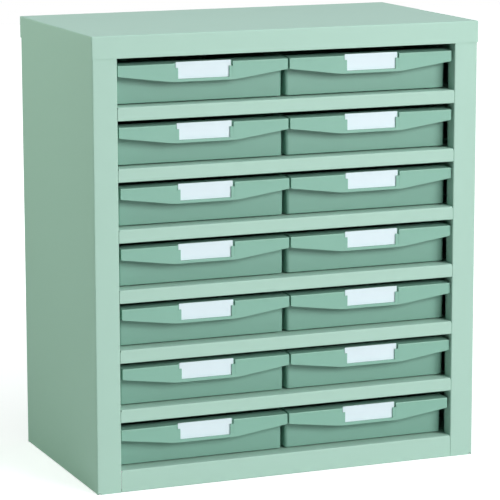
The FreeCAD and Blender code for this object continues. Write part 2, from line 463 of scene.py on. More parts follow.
class SweepTree(RepeatTree):
    """Tree that sweeps flat section faces along a run, and repeats the solid at its host's points."""

    def pattern(self, maker: TreeMaker, given: bpy.types.NodeOutputs) -> bpy.types.NodeSocket:
        """The solid that is repeated: the pattern's faces swept along the run.

        Args:
            maker: Adds nodes to this tree.
            given: The tree's inputs.

        Returns:
            The closed solid.
        """
        self.tree.name = "sweep_and_repeat"
        maker.sockets("INPUT", {"Run": "Float"})
        faces = maker.node("GeometryNodeObjectInfo", {"Object": given["Pattern"]}).outputs["Geometry"]
        along = maker.node("ShaderNodeCombineXYZ", {"Y": given["Run"]}).outputs["Vector"]
        swept = maker.node(
            "GeometryNodeExtrudeMesh",
            {"Mesh": faces, "Offset": along, "Offset Scale": 1.0, "Individual": False},
        )
        turned = maker.node("GeometryNodeFlipFaces", {"Mesh": faces}).outputs["Mesh"]
        both = maker.node("GeometryNodeJoinGeometry")
        maker.tree.links.new(swept.outputs["Mesh"], both.inputs["Geometry"])
        maker.tree.links.new(turned, both.inputs["Geometry"])
        return maker.node(
            "GeometryNodeMergeByDistance", {"Geometry": both.outputs["Geometry"], "Distance": WELD}
        ).outputs["Geometry"]


class Relief(Enum):
    """Named grains of a surface: how many per metre, and how rough their finest part is."""

    ENAMEL = (700.0, 0.45)
    MOULD = (2200.0, 0.6)
    PAPER = (1600.0, 0.7)


class SharedEffects:
    """Shader node groups that more than one finish uses."""

    def __init__(self) -> None:
        """Build each group once."""
        self.drift = self._drift()
        self.grain = self._grain()

    @staticmethod
    def _drift() -> bpy.types.NodeTree:
        """Slow change of tone over a large surface, as in sprayed paint or moulded plastic.

        Returns:
            The group.
        """
        tree = bpy.data.node_groups.new("tone_drift", "ShaderNodeTree")
        maker = TreeMaker(tree)
        maker.sockets("INPUT", {"Vector": "Vector", "Color": "Color", "Amount": "Float", "Scale": "Float"})
        maker.sockets("OUTPUT", {"Color": "Color"})
        given = maker.node("NodeGroupInput").outputs
        noise = {"Vector": given["Vector"], "Scale": given["Scale"], "Detail": 3.0}
        cloud = maker.node("ShaderNodeTexNoise", noise).outputs["Fac"]
        spread = maker.math("MULTIPLY", given["Amount"], 2.0)
        share = maker.math("MULTIPLY_ADD", maker.math("SUBTRACT", cloud, 0.5), spread, 1.0)
        toned = maker.node("ShaderNodeHueSaturation", {"Color": given["Color"], "Value": share})
        maker.node("NodeGroupOutput", {"Color": toned.outputs["Color"]})
        return tree

    @staticmethod
    def _grain() -> bpy.types.NodeTree:
        """Fine relief of a surface, as a height and as a roughness that follows it.

        Returns:
            The group.
        """
        tree = bpy.data.node_groups.new("fine_grain", "ShaderNodeTree")
        maker = TreeMaker(tree)
        amounts = ("Scale", "Fineness", "Gloss", "Gloss Spread")
        maker.sockets("INPUT", {"Vector": "Vector", **{name: "Float" for name in amounts}})
        maker.sockets("OUTPUT", {"Height": "Float", "Roughness": "Float"})
        given = maker.node("NodeGroupInput").outputs
        noise = {"Vector": given["Vector"], "Scale": given["Scale"], "Roughness": given["Fineness"]}
        fine = maker.node("ShaderNodeTexNoise", {"Detail": 2.0, **noise}).outputs["Fac"]
        around = maker.math("SUBTRACT", fine, 0.5)
        rough = maker.math("MULTIPLY_ADD", around, given["Gloss Spread"], given["Gloss"])
        maker.node("NodeGroupOutput", {"Height": fine, "Roughness": rough})
        return tree


@dataclass(frozen=True)
class Finish:
    """One painted, moulded or metal surface.

    The colour is linear, relief_depth is the height of the grain, and drift is the share by which
    the tone wanders over the surface.
    """

    name: str
    slot: str
    color: Triple
    roughness: float
    relief: Relief
    relief_depth: float
    drift: float
    drift_scale: float
    roughness_spread: float = 0.08
    specular: float = 0.5
    metallic: float = 0.0

    def material(self, shared: SharedEffects) -> bpy.types.Material:
        """Build the material.

        Args:
            shared: The node groups that the finishes share.

        Returns:
            A material that reads Object coordinates.
        """
        material = bpy.data.materials.new(self.name)
        material.use_nodes = True
        maker = TreeMaker(material.node_tree)
        place = maker.node("ShaderNodeTexCoord").outputs["Object"]
        toned = maker.node(
            "ShaderNodeGroup",
            {"Vector": place, "Color": (*self.color, 1.0), "Amount": self.drift, "Scale": self.drift_scale},
            node_tree=shared.drift,
        )
        scale, fineness = self.relief.value
        grained = maker.node(
            "ShaderNodeGroup",
            {
                "Vector": place,
                "Scale": scale,
                "Fineness": fineness,
                "Gloss": self.roughness,
                "Gloss Spread": self.roughness_spread,
            },
            node_tree=shared.grain,
        )
        bump = maker.node(
            "ShaderNodeBump",
            {"Height": grained.outputs["Height"], "Strength": 1.0, "Distance": self.relief_depth},
        )
        shader = maker.node(
            "ShaderNodeBsdfPrincipled",
            {
                "Base Color": self.base_color(maker, toned.outputs["Color"]),
                "Roughness": grained.outputs["Roughness"],
                "Normal": bump.outputs["Normal"],
                "Metallic": self.metallic,
                "Specular IOR Level": self.specular,
            },
        )
        maker.node("ShaderNodeOutputMaterial", {"Surface": shader.outputs["BSDF"]})
        return material

    def base_color(self, maker: TreeMaker, toned: bpy.types.NodeSocket) -> bpy.types.NodeSocket:
        """The colour of the surface: its own tone, with nothing on it."""
        return toned


@dataclass(frozen=True)
class RubbedFinish(Finish):
    """A finish that is paler where its mesh attribute is high, for sliding wear and for painted light."""

    # The paler tone: sliding wear on guides, painted light on the drawers' pulls
    rubbed: Triple = (0.5, 0.5, 0.5)

    def base_color(self, maker: TreeMaker, toned: bpy.types.NodeSocket) -> bpy.types.NodeSocket:
        """The colour of the surface, mixed by the attribute with the paler tone of wear and of painted
        light.

        Args:
            maker: Adds nodes to the material.
            toned: The surface's own tone.

        Returns:
            The mixed colour.
        """
        # A Mix node counts its colour sockets after those of its other kinds
        share, own, paler, result = 0, 6, 7, 2
        worn_and_lit_share = maker.node("ShaderNodeAttribute", attribute_name="rub").outputs["Fac"]
        colors = {share: worn_and_lit_share, own: toned, paler: (*self.rubbed, 1.0)}
        return maker.node("ShaderNodeMix", colors, data_type="RGBA").outputs[result]


class Finishes:
    """Every finish of the unit, each built once as a material."""

    def __init__(self) -> None:
        """Build the materials."""
        self.shared = SharedEffects()
        self.slots: dict[str, str] = {}
        self.enamel = self._built(
            Finish(
                name="case_enamel",
                slot="case_paint",
                color=(0.44, 0.655, 0.555),
                roughness=0.52,
                relief=Relief.ENAMEL,
                relief_depth=0.000012,
                drift=0.012,
                drift_scale=4.0,
                specular=0.22,
            )
        )
        self.guide = self._built(
            RubbedFinish(
                name="guide_enamel",
                slot="guide_paint",
                color=(0.42, 0.62, 0.53),
                roughness=0.48,
                relief=Relief.ENAMEL,
                relief_depth=0.000012,
                drift=0.02,
                drift_scale=6.0,
                rubbed=(0.5, 0.55, 0.52),
            )
        )
        self.plastic = self._built(
            RubbedFinish(
                name="drawer_plastic",
                slot="drawer_plastic",
                color=(0.206, 0.404, 0.323),
                roughness=0.36,
                relief=Relief.MOULD,
                relief_depth=0.00002,
                drift=0.015,
                drift_scale=9.0,
                # Painted light: the pulls' plates are paler, for the light they catch ahead of the shaded
                # trays
                rubbed=(0.247, 0.482, 0.382),
            )
        )
        self.card = self._built(
            Finish(
                name="label_card",
                slot="label_card",
                color=(0.76, 0.88, 0.93),
                roughness=0.6,
                relief=Relief.PAPER,
                relief_depth=0.00001,
                drift=0.01,
                drift_scale=20.0,
            )
        )
        self.aluminium = self._built(
            Finish(
                name="rivet_aluminium",
                slot="rivet_aluminium",
                color=(0.62, 0.63, 0.64),
                roughness=0.38,
                relief=Relief.ENAMEL,
                relief_depth=0.00001,
                drift=0.03,
                drift_scale=60.0,
                metallic=1.0,
            )
        )

    def _built(self, finish: Finish) -> bpy.types.Material:
        """Build one finish and note its slot.

        Args:
            finish: The finish.

        Returns:
            Its material.
        """
        material = finish.material(self.shared)
        self.slots[material.name] = finish.slot
        return material

    def dress(
        self, piece: bpy.types.Object, material: bpy.types.Material, body: str, nodes: Sequence[str]
    ) -> None:
        """Give a piece its finish, its body and the frame's nodes that it stands for.

        Args:
            piece: The finished piece.
            material: Its only material.
            body: The body it moves with.
            nodes: The frame's nodes that it replaces.
        """
        piece.data.materials.clear()
        piece.data.materials.append(material)
        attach(piece, body)
        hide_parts(*nodes)
        log.info("%s rides on %s with %d faces", piece.name, body, len(piece.data.polygons))


@dataclass(frozen=True)
class SheetSteel:
    """The stock that the case is folded from; bend is the outer radius of a fold."""

    thickness: float = 0.0010
    bend: float = 0.0015
    bend_steps: int = 6
    edge_round: float = 0.00022
    edge_steps: int = 2
    edge_turn: float = 60.0
    relief: float = 0.0020

    @property
    def strip(self) -> float:
        """Height of the strip of wall that a flange is folded from."""
        return 2.0 * self.bend

    def section(self, points: Sequence[Point]) -> list[Point]:
        """Outer line of a folded section through its corner points."""
        return outline([(a, b, self.bend) for a, b in points], self.bend_steps, False)

    def sheet(self, name: str, surface: Surface, outward: Vector) -> bpy.types.Object:
        """Give an outer surface the sheet's thickness and soft cut edges.

        Args:
            name: Name of the piece.
            surface: The faces of the outer side.
            outward: A direction in which the outer side faces.

        Returns:
            The sheet as a plain mesh object.
        """
        piece = surface.piece(name, outward)
        wall = piece.modifiers.new("thickness", "SOLIDIFY")
        wall.thickness = self.thickness
        wall.offset = -1.0
        wall.use_even_offset = True
        settled(piece)
        return shaded(softened(piece, self.edge_round, self.edge_steps, self.edge_turn))


@dataclass(frozen=True)
class BlindRivet:
    """A blind rivet: domed head with the mandrel's hole, shank, and end swollen by the setting."""

    shank: float = 0.0016
    head: float = 0.0032
    head_height: float = 0.0009
    head_edge: float = 0.00015
    dome: tuple[Point, ...] = ((0.6, 0.7), (0.9, 0.35))
    hole: float = 0.0009
    hole_depth: float = 0.0007
    hole_rim: float = 0.9
    end: float = 0.0023
    end_length: float = 0.0025
    end_slope: float = 0.0003
    end_round: float = 0.0006
    end_tip: float = 0.6
    turns: int = 20

    def profile(self, grip: float) -> list[Point]:
        """Outer line of the rivet, from the middle of its head to the tip of its end.

        Args:
            grip: Thickness of the sheets that it holds.

        Returns:
            The (radius, height) points, with the head's seat at height 0.
        """
        hole_floor = self.head_height - self.hole_depth
        tip = -grip - self.end_length
        return [
            (0.0, hole_floor),
            (self.hole, hole_floor),
            (self.hole, self.head_height * self.hole_rim),
            *[(self.head * across, self.head_height * up) for across, up in self.dome],
            (self.head, self.head_edge),
            (self.head, 0.0),
            (self.shank, 0.0),
            (self.shank, -grip),
            (self.end, -grip - self.end_slope),
            (self.end, tip + self.end_round),
            (self.end * self.end_tip, tip),
            (0.0, tip),
        ]

    def shape(self, grip: float) -> bpy.types.Object:
        """Turn the rivet about Y, with the seat of its head at the origin.

        Args:
            grip: Thickness of the sheets that it holds.

        Returns:
            The rivet, as a pattern.
        """
        spokes = [math.tau * k / self.turns for k in range(self.turns)]
        line = self.profile(grip)
        rings = [[Vector((r * math.cos(t), y, r * math.sin(t))) for t in spokes] for r, y in line]
        surface = Surface()
        surface.grid(rings, closed=True)
        return surface.piece("rivet_pattern", REAR)


@dataclass
class Case:
    """The folded steel case and what is fixed in it."""

    finishes: Finishes
    steel: SheetSteel = SheetSteel()
    rivet: BlindRivet = BlindRivet()
    body: str = "case"
    # Side panels and cap
    stile_return: float = 0.0205
    stile_tail: float = 0.010
    rear_flange: float = 0.016
    foot_flange: float = 0.020
    head_flange: float = 0.015
    # Top rail, shelves and bottom shelf
    rail_head: float = 0.012
    bottom_lip: float = 0.030
    bottom_fold: float = 0.015
    shelf_lip: float = 0.018
    lip_fold: float = 0.008
    shelf_drop: float = 0.012
    wing_clearance: float = 0.001
    seam: float = 0.0001
    corner_relief: float = 0.0008
    # Guides and rivets
    guide_foot: float = 0.012
    guide_steps: int = 4
    guide_rub: float = 0.6
    centre_foot: float = 0.0050
    rivets_per_side: int = 4

    def __post_init__(self) -> None:
        """Read the case's places from the frame."""
        low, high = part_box("left_side_panel")
        self.half_width = -low.x
        self.front = low.y
        self.back = high.y
        self.panel_top = high.z
        self.opening_half = -high.x
        self.cap_low, self.cap_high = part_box("top_cap")
        self.plate_back = self.back - 2.0 * self.steel.thickness
        self.shelf_nodes = sorted(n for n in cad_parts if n.startswith("shelf_"))
        self.guide_nodes = sorted(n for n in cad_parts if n.startswith("drawer_guides_"))

    def build(self) -> None:
        """Make every fixed piece."""
        for side in Side:
            self.side_panel(side)
        self.top_cap()
        self.top_rail()
        self.back_panel()
        self.shelves()
        self.bottom_shelf()
        self.guides()
        self.rivets()

    def _dress(self, piece: bpy.types.Object, *nodes: str) -> None:
        """Paint a steel piece of the case."""
        self.finishes.dress(piece, self.finishes.enamel, self.body, nodes)

    def side_panel(self, side: Side) -> None:
        """Fold a side wall with its stile, rear flange, foot flange and head flange.

        Args:
            side: The side of the unit.
        """
        steel, half = self.steel, self.half_width
        y0 = self.front + steel.bend + steel.relief
        y1 = self.plate_back - steel.relief
        notch = half - steel.relief
        section = steel.section(
            [
                (half - self.rear_flange, self.back),
                (half, self.back),
                (half, self.front),
                (self.opening_half, self.front),
                (self.opening_half, self.front + self.stile_return),
                (self.opening_half + self.stile_tail, self.front + self.stile_return),
            ]
        )
        # More points beside the folds, so that the corner notches can be left out cell by cell
        corner = next(i for i, (x, y) in enumerate(section) if y < 0.0)
        section[corner:corner] = [(half, y1), (half, y0)]
        stile = next(i for i, (x, y) in enumerate(section) if x < notch and y < 0.0)
        section[stile:stile] = [(notch, self.front), (notch - steel.relief, self.front)]
        top = self.panel_top
        levels = [0.0, steel.relief, steel.strip, top - steel.strip, top - steel.bend]
        sign = side.value

        def keep(i: int, j: int) -> bool:
            """Whether the cell above level i, after section point j, is steel."""
            folded_away = j == corner and i in (0, 1, 3)
            return not folded_away and not (j == stile and i == 0)

        surface = Surface()
        surface.grid([[Vector((sign * x, y, z)) for x, y in section] for z in levels], keep)
        for level, upward, reach in ((0.0, 1.0, self.foot_flange), (top, -1.0, self.head_flange)):
            wall = (half, level + upward * steel.strip)
            edge = steel.section([wall, (half, level), (half - reach, level)])
            surface.grid([[Vector((sign * x, y, z)) for x, z in edge] for y in (y1, y0)])
        name = side.word + "_side_panel"
        self._dress(steel.sheet(name + "_sheet", surface, Vector((sign, 0.0, 0.0))), name)

    def top_cap(self) -> None:
        """Press the shallow cap, with round corners and round upper edges."""
        steel = self.steel
        top = self.cap_high.z
        turn = [(0.0, top - steel.strip, 0.0), (0.0, top, steel.bend), (steel.strip, top, 0.0)]
        rings = []
        for inset, z in [(0.0, self.cap_low.z)] + outline(turn, steel.bend_steps, False)[1:-1]:
            radius = max(steel.bend - inset, WELD)
            a, b = self.cap_high.x - inset, self.cap_high.y - inset
            corners = [(-a, -b, radius), (a, -b, radius), (a, b, radius), (-a, b, radius)]
            rings.append([Vector((x, y, z)) for x, y in outline(corners, steel.bend_steps, True)])
        surface = Surface()
        surface.grid(rings, closed=True)
        surface.cap(rings[-1])
        self._dress(steel.sheet("top_cap_sheet", surface, UP), "top_cap")

    def top_rail(self) -> None:
        """Fold the rail that stands behind the cap's skirt, between the stiles."""
        low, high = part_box("top_rail")
        fold, head = low.y + self.lip_fold, low.y + self.rail_head
        section = self.steel.section([(fold, low.z), (low.y, low.z), (low.y, high.z), (head, high.z)])
        surface = Surface()
        surface.grid([[Vector((x, y, z)) for y, z in section] for x in (low.x, high.x)])
        self._dress(self.steel.sheet("top_rail_sheet", surface, FRONT), "top_rail")

    def back_panel(self) -> None:
        """Cut the flat back panel."""
        low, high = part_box("back_panel")
        surface = Surface()
        surface.grid([[Vector((x, high.y, z)) for x in (low.x, high.x)] for z in (low.z, high.z)])
        self._dress(self.steel.sheet("back_panel_sheet", surface, REAR), "back_panel")

    def _shelf(self, name: str, node: str, lip: float, fold: float) -> bpy.types.Object:
        """Fold one shelf, with its front lip, rear flange and side wings, at height 0.

        Args:
            name: Name of the piece.
            node: The frame's node whose width it takes.
            lip: Height of the front lip.
            fold: Depth of the lip's own fold.

        Returns:
            The shelf, not yet painted.
        """
        steel = self.steel
        half = self.opening_half - self.seam
        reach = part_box(node)[1].x
        wing_front = self.front + self.stile_return + self.wing_clearance
        wing_back = self.plate_back - steel.bend
        section = steel.section(
            [
                (self.front + fold, -lip),
                (self.front, -lip),
                (self.front, 0.0),
                (self.plate_back, 0.0),
                (self.plate_back, -self.shelf_drop),
            ]
        )
        # More points beside the folds, so that the corner notches can be left out cell by cell
        notch = steel.bend + self.corner_relief
        first = next(i for i, (y, z) in enumerate(section) if z > -notch)
        section.insert(first, (self.front, -notch))
        last = next(i for i, (y, z) in enumerate(section) if y > wing_front)
        section[last:last] = [(self.front + notch, 0.0), (wing_front, 0.0)]
        columns = [-half, self.corner_relief - half, half - self.corner_relief, half]
        surface = Surface()
        surface.grid(
            [[Vector((x, y, z)) for y, z in section] for x in columns],
            lambda i, j: i == 1 or not first <= j < last,
        )
        wing = steel.section([(half, 0.0), (reach, 0.0), (reach, -self.shelf_drop)])
        for sign in (-1.0, 1.0):
            surface.grid([[Vector((sign * x, y, z)) for x, z in wing] for y in (wing_front, wing_back)])
        return steel.sheet(name, surface, UP)

    def shelves(self) -> None:
        """Repeat one shelf at each height that the frame gives."""
        pattern = self._shelf("shelf_pattern", self.shelf_nodes[0], self.shelf_lip, self.lip_fold)
        points = [Vector((0.0, 0.0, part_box(node)[1].z)) for node in self.shelf_nodes]
        piece = RepeatTree().run("shelf_sheets", points, pattern, self.finishes.enamel)
        self._dress(piece, *self.shelf_nodes)

    def bottom_shelf(self) -> None:
        """Fold the bottom shelf, whose deep lip is the unit's bottom rail."""
        piece = self._shelf("bottom_shelf_sheet", "bottom_shelf", self.bottom_lip, self.bottom_fold)
        piece.data.transform(Matrix.Translation((0.0, 0.0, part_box("bottom_shelf")[1].z)))
        self._dress(piece, "bottom_shelf")

    def _guide_sections(self, rise: float) -> list[list[Point]]:
        """Sections of the three guides of a row, standing on height 0.

        Args:
            rise: Height of the guides.

        Returns:
            The right angle, the left angle and the tee in the middle.
        """
        steel = self.steel
        soft, sheet, inside_bend = steel.edge_round, steel.thickness, steel.bend - steel.thickness
        wall, foot = self.opening_half, self.opening_half + self.guide_foot
        tee, thin = self.centre_foot, steel.thickness / 2.0
        angle = [
            (foot, 0.0, soft),
            (foot, sheet, soft),
            (wall + sheet, sheet, inside_bend),
            (wall + sheet, rise, soft),
            (wall, rise, soft),
            (wall, 0.0, steel.bend),
        ]
        centre = [
            (-tee, 0.0, soft),
            (tee, 0.0, soft),
            (tee, sheet, soft),
            (thin, sheet, inside_bend),
            (thin, rise, soft),
            (-thin, rise, soft),
            (-thin, sheet, inside_bend),
            (-tee, sheet, soft),
        ]
        right = outline(angle, self.guide_steps, True)
        return [right, [(-x, z) for x, z in right], outline(centre, self.guide_steps, True)]

    def guides(self) -> None:
        """Sweep the guides' sections along each shelf, and mark their upper edges as worn."""
        low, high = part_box(self.guide_nodes[0])
        rise = high.z - low.z
        surface = Surface()
        for section in self._guide_sections(rise):
            surface.cap([Vector((x, low.y, z)) for x, z in section])
        pattern = surface.piece("guide_sections", REAR)
        points = [Vector((0.0, 0.0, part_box(node)[0].z)) for node in self.guide_nodes]
        paint = self.finishes.guide
        piece = SweepTree().run("drawer_guide_set", points, pattern, paint, Run=high.y - low.y)
        edges = [point.z + rise for point in points]

        def rub(place: Vector) -> float:
            """Share of rubbing at a place, which is all on the upper edges."""
            return self.guide_rub if min(abs(place.z - z) for z in edges) < self.steel.edge_round else 0.0

        mark_rub(piece, rub)
        self.finishes.dress(shaded(piece), paint, self.body, self.guide_nodes)

    def rivets(self) -> None:
        """Set the blind rivets through the back panel and the rear flanges."""
        low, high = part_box("back_panel_rivets")
        pattern = self.rivet.shape(2.0 * self.steel.thickness)
        x = high.x - self.rivet.head
        first, last = low.z + self.rivet.head, high.z - self.rivet.head
        steps = self.rivets_per_side - 1
        heights = [first + (last - first) * k / steps for k in range(self.rivets_per_side)]
        points = [Vector((side.value * x, self.back, z)) for side in Side for z in heights]
        metal = self.finishes.aluminium
        piece = RepeatTree().run("back_panel_rivet_set", points, pattern, metal)
        self.finishes.dress(shaded(piece), metal, self.body, ["back_panel_rivets"])


@dataclass
class Drawer:
    """One moulded drawer, built once about its own middle and the height of its shelf."""

    finishes: Finishes
    rows: int = 7
    # Pull: its plate hangs in front of the tray, and its web joins it to the rim
    plate: float = 0.0040
    reach: float = 0.0182
    fall: float = 0.0015
    end_height: float = 0.0142
    middle_height: float = 0.0244
    flat: float = 0.088
    sweep_radius: float = 0.120
    end_radius: float = 0.0020
    edge_radius: float = 0.0015
    cheek: float = 0.0020
    lap: float = 0.0018
    edge_steps: int = 3
    edge_turn: float = 40.0
    # Tray
    wall: float = 0.0020
    floor: float = 0.0020
    rim: float = 0.0020
    overhang: float = 0.0010
    draft: float = 0.0005
    corner: float = 0.0045
    inside_corner: float = 0.0025
    bottom_radius: float = 0.0008
    inside_radius: float = 0.0006
    floor_line: float = 0.02
    # Skids and stop lugs
    slide_clearance: float = 0.0003
    skid_height: float = 0.0012
    skid_width: float = 0.0060
    skid_inset: float = 0.0140
    lug_length: float = 0.0120
    lug_place: float = 0.0760
    rim_drop: float = 0.0133
    # Label pocket
    pocket_depth: float = 0.0206
    rail_width: float = 0.0048
    rail_thickness: float = 0.0020
    rail_drop: float = 0.0062
    rail_step: float = 0.00025
    card_play: float = 0.0001
    pocket_play: float = 0.0021
    # Small roundings, and the facets of small and large ones
    soft: float = 0.0005
    soft_steps: int = 4
    steps: int = 8

    def __post_init__(self) -> None:
        """Read the drawer's places from the frame."""
        low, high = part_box("drawer_1_left")
        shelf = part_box("shelf_1")[1].z
        card_low, card_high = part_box("label_1_left")
        self.half = (high.x - low.x) / 2.0
        self.face = low.y
        self.rear = high.y
        self.tray_front = self.face + self.reach
        self.top = high.z - shelf - self.rim_drop
        self.lug_top = high.z - shelf
        self.bottom = self.slide_clearance + self.skid_height
        self.lip_top = self.top - self.fall
        self.card_thickness = card_high.y - card_low.y
        self.pocket_half = (card_high.x - card_low.x) / 2.0 + self.pocket_play

    def _ring(self, out: float, inset: float, z: float, radius: float) -> list[Vector]:
        """Horizontal ring round the tray.

        Args:
            out: How far the ring stands out at its sides and rear past the tray's top edge.
            inset: How far all four sides are drawn in.
            z: The ring's height.
            radius: Radius of its corners.

        Returns:
            The ring's points.
        """
        a = self.half - self.overhang + out - inset
        y0 = self.tray_front + inset
        y1 = self.rear - self.overhang + out - inset
        corners = [(-a, y0, radius), (a, y0, radius), (a, y1, radius), (-a, y1, radius)]
        return [Vector((x, y, z)) for x, y in outline(corners, self.steps, True)]

    def _drawn_in(self, z: float) -> float:
        """How far the drafted walls are drawn in at a height."""
        return -self.draft * (self.top - z) / (self.top - self.bottom)

    def tray(self) -> bpy.types.Object:
        """Skin the tray from its outer floor, up and over the rim, down to its inner floor.

        Returns:
            The tray, as a helper solid.
        """
        rim_low = self.top - self.rim
        inner_floor = self.bottom + self.floor
        outside = [
            (self.floor_line, self.bottom, 0.0),
            (0.0, self.bottom, self.bottom_radius),
            (0.0, self.bottom + 2.0 * self.bottom_radius, 0.0),
        ]
        rim = [
            (0.0, rim_low, 0.0),
            (self.overhang, rim_low, self.soft),
            (self.overhang, self.top, self.soft),
            (0.0, self.top, 0.0),
        ]
        inside = [
            (0.0, self.top, 0.0),
            (self.wall, self.top, self.soft),
            (self.wall, inner_floor, self.inside_radius),
            (self.wall + self.floor_line, inner_floor, 0.0),
        ]
        rings = []
        for inset, z in outline(outside, self.steps, False)[1:]:
            rings.append(self._ring(self._drawn_in(z), inset, z, self.corner - inset))
        rings.append(self._ring(self._drawn_in(rim_low), 0.0, rim_low, self.corner))
        for out, z in outline(rim, self.soft_steps, False)[1:-1]:
            rings.append(self._ring(out, 0.0, z, self.corner))
        for inset, z in outline(inside, self.steps, False)[1:-1]:
            rings.append(self._ring(self._drawn_in(z), inset, z, self.inside_corner + self.wall - inset))
        surface = Surface()
        surface.loft(rings)
        return surface.piece("tray", DOWN)

    def pull(self) -> bpy.types.Object:
        """Shape the hanging pull: plate with curved lower edge, top web and end cheeks.

        Returns:
            The pull, as a helper solid.
        """
        half, inner = self.half, self.half - self.cheek
        low, end_low = self.lip_top - self.middle_height, self.lip_top - self.end_height
        web_back = self.tray_front + self.lap
        depth = self.middle_height + self.edge_radius
        section = [
            (self.face, self.lip_top - 2.0 * depth, 0.0),
            (web_back, self.lip_top - 2.0 * depth, 0.0),
            (web_back, self.top, 0.0),
            (self.tray_front, self.top, 0.0),
            (self.face, self.lip_top, self.edge_radius),
        ]
        front_view = [
            (-half, end_low, self.end_radius),
            (-self.flat / 2.0, low, self.sweep_radius),
            (self.flat / 2.0, low, self.sweep_radius),
            (half, end_low, self.end_radius),
            (half, self.top, self.end_radius),
            (-half, self.top, self.end_radius),
        ]
        under = [
            (self.face + self.plate, low - depth, 0.0),
            (self.tray_front + self.soft, low - depth, 0.0),
            (self.tray_front + self.soft, self.top - self.rim, 0.0),
            (self.face + self.plate, self.lip_top - self.rim, self.edge_radius / 2.0),
        ]
        across = Vector((2.0 * half, 0.0, 0.0))
        body = prism("pull", section, self.steps, lambda y, z: Vector((-half, y, z)), across)
        before = self.face - self.wall
        through = Vector((0.0, web_back - self.face + 2.0 * self.wall, 0.0))
        trim = prism("trim", front_view, self.steps, lambda x, z: Vector((x, before, z)), through)
        between = Vector((2.0 * inner, 0.0, 0.0))
        hollow = prism("hollow", under, self.soft_steps, lambda y, z: Vector((-inner, y, z)), between)
        worked(body, [trim], Join.SHARE)
        worked(body, [hollow], Join.CUT)
        return softened(body, self.soft, self.edge_steps, self.edge_turn)

    def _pocket_cuts(self) -> list[bpy.types.Object]:
        """Room for the card: a shallow step, a window, an open top and the card's slot.

        Returns:
            The helper solids that are cut away.
        """
        top = self.top + self.wall
        slot_front = self.face + self.rail_thickness
        slot_back = slot_front + self.card_thickness + 2.0 * self.card_play
        low = self.lip_top - self.pocket_depth
        window = self.pocket_half - self.rail_width
        before = self.face - self.wall
        step = self.face + self.rail_step
        ear = self.lip_top - self.rail_drop
        return [
            block("step", (-self.pocket_half, before, low), (self.pocket_half, step, top)),
            block("window", (-window, before, low), (window, slot_back, top)),
            block("open_top", (-self.pocket_half, before, ear), (self.pocket_half, slot_back, top)),
            block("slot", (-self.pocket_half, slot_front, low), (self.pocket_half, slot_back, top)),
        ]

    def shape(self) -> bpy.types.Object:
        """Join the tray, the pull, the stop lugs and the skids, and cut the label pocket.

        Returns:
            The drawer, as a pattern.
        """
        lug_in = self.half - self.overhang - self.wall
        lug_back = self.lug_place + self.lug_length
        skid_out = self.half - self.overhang - self.draft - self.skid_inset
        skid_front = self.tray_front + self.corner
        skid_back = self.rear - self.overhang - self.corner
        skid_top = self.bottom + self.floor / 2.0
        skid_in = skid_out - self.skid_width
        # Inner and outer x, lowest and highest y, lowest and highest z
        fittings = {
            "lug": (lug_in, self.half, self.lug_place, lug_back, self.top - self.rim, self.lug_top),
            "skid": (skid_in, skid_out, skid_front, skid_back, self.slide_clearance, skid_top),
        }
        parts = [self.pull()]
        for side in Side:
            for name, (inner, outer, y0, y1, z0, z1) in fittings.items():
                x0, x1 = sorted((side.value * inner, side.value * outer))
                parts.append(softened(block(name, (x0, y0, z0), (x1, y1, z1)), self.soft))
        body = worked(self.tray(), parts, Join.ADD)
        worked(body, self._pocket_cuts(), Join.CUT)
        # Painted light: the pull's front plate takes the paler tone, for the light it catches ahead of the
        # shaded tray
        mark_rub(body, lambda place: 1.0 if place.y < self.face + self.plate else 0.0)
        return shaded(body)

    def build(self) -> None:
        """Place a copy of the drawer on each drawer body, with its card."""
        pattern = self.shape()
        card = LabelCard(self.finishes)
        for row in range(1, self.rows + 1):
            for side in Side:
                body = f"drawer_{row}_{side.word}"
                low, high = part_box(body)
                shift = Matrix.Translation(((low.x + high.x) / 2.0, 0.0, high.z - self.lug_top))
                mesh = pattern.data.copy()
                mesh.transform(shift)
                piece = placed(f"moulded_drawer_{row}_{side.word}", mesh)
                self.finishes.dress(piece, self.finishes.plastic, body, [body])
                card.build(row, side)
        discard(pattern)


@dataclass
class LabelCard:
    """Blank card in a drawer's pocket."""

    finishes: Finishes
    corner: float = 0.0006
    corner_steps: int = 4
    edge: float = 0.0001
    edge_steps: int = 2
    edge_turn: float = 60.0

    def build(self, row: int, side: Side) -> None:
        """Make the card of one drawer.

        Args:
            row: The drawer's row, from the top.
            side: The drawer's column.
        """
        node = f"label_{row}_{side.word}"
        low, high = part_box(node)
        edges = [(low.x, low.z), (high.x, low.z), (high.x, high.z), (low.x, high.z)]
        corners = [(x, z, self.corner) for x, z in edges]
        through = Vector((0.0, high.y - low.y, 0.0))
        name = f"card_{row}_{side.word}"
        piece = prism(name, corners, self.corner_steps, lambda x, z: Vector((x, low.y, z)), through)
        shaded(softened(piece, self.edge, self.edge_steps, self.edge_turn))
        self.finishes.dress(piece, self.finishes.card, f"drawer_{row}_{side.word}", [node])


@dataclass(frozen=True)
class Lamp:
    """A soft rectangular lamp that looks at the middle of the unit.

    The azimuth runs from the front to the right, and it and the elevation are degrees.
    """

    name: str
    azimuth: float
    elevation: float
    distance: float
    width: float
    height: float
    power: float
    tint: Triple = (1.0, 1.0, 1.0)

    def build(self, target: Vector) -> None:
        """Hang the lamp.

        Args:
            target: The point that it faces.
        """
        data = bpy.data.lights.new(self.name, "AREA")
        data.shape = "RECTANGLE"
        data.size = self.width
        data.size_y = self.height
        data.energy = self.power
        data.color = self.tint
        turn, rise = math.radians(self.azimuth), math.radians(self.elevation)
        toward = Vector((math.sin(turn) * math.cos(rise), -math.cos(turn) * math.cos(rise), math.sin(rise)))
        lamp = bpy.data.objects.new(self.name, data)
        lamp.location = target + toward * self.distance
        lamp.rotation_mode = "QUATERNION"
        lamp.rotation_quaternion = toward.to_track_quat("Z", "Y")
        bpy.context.scene.collection.objects.link(lamp)


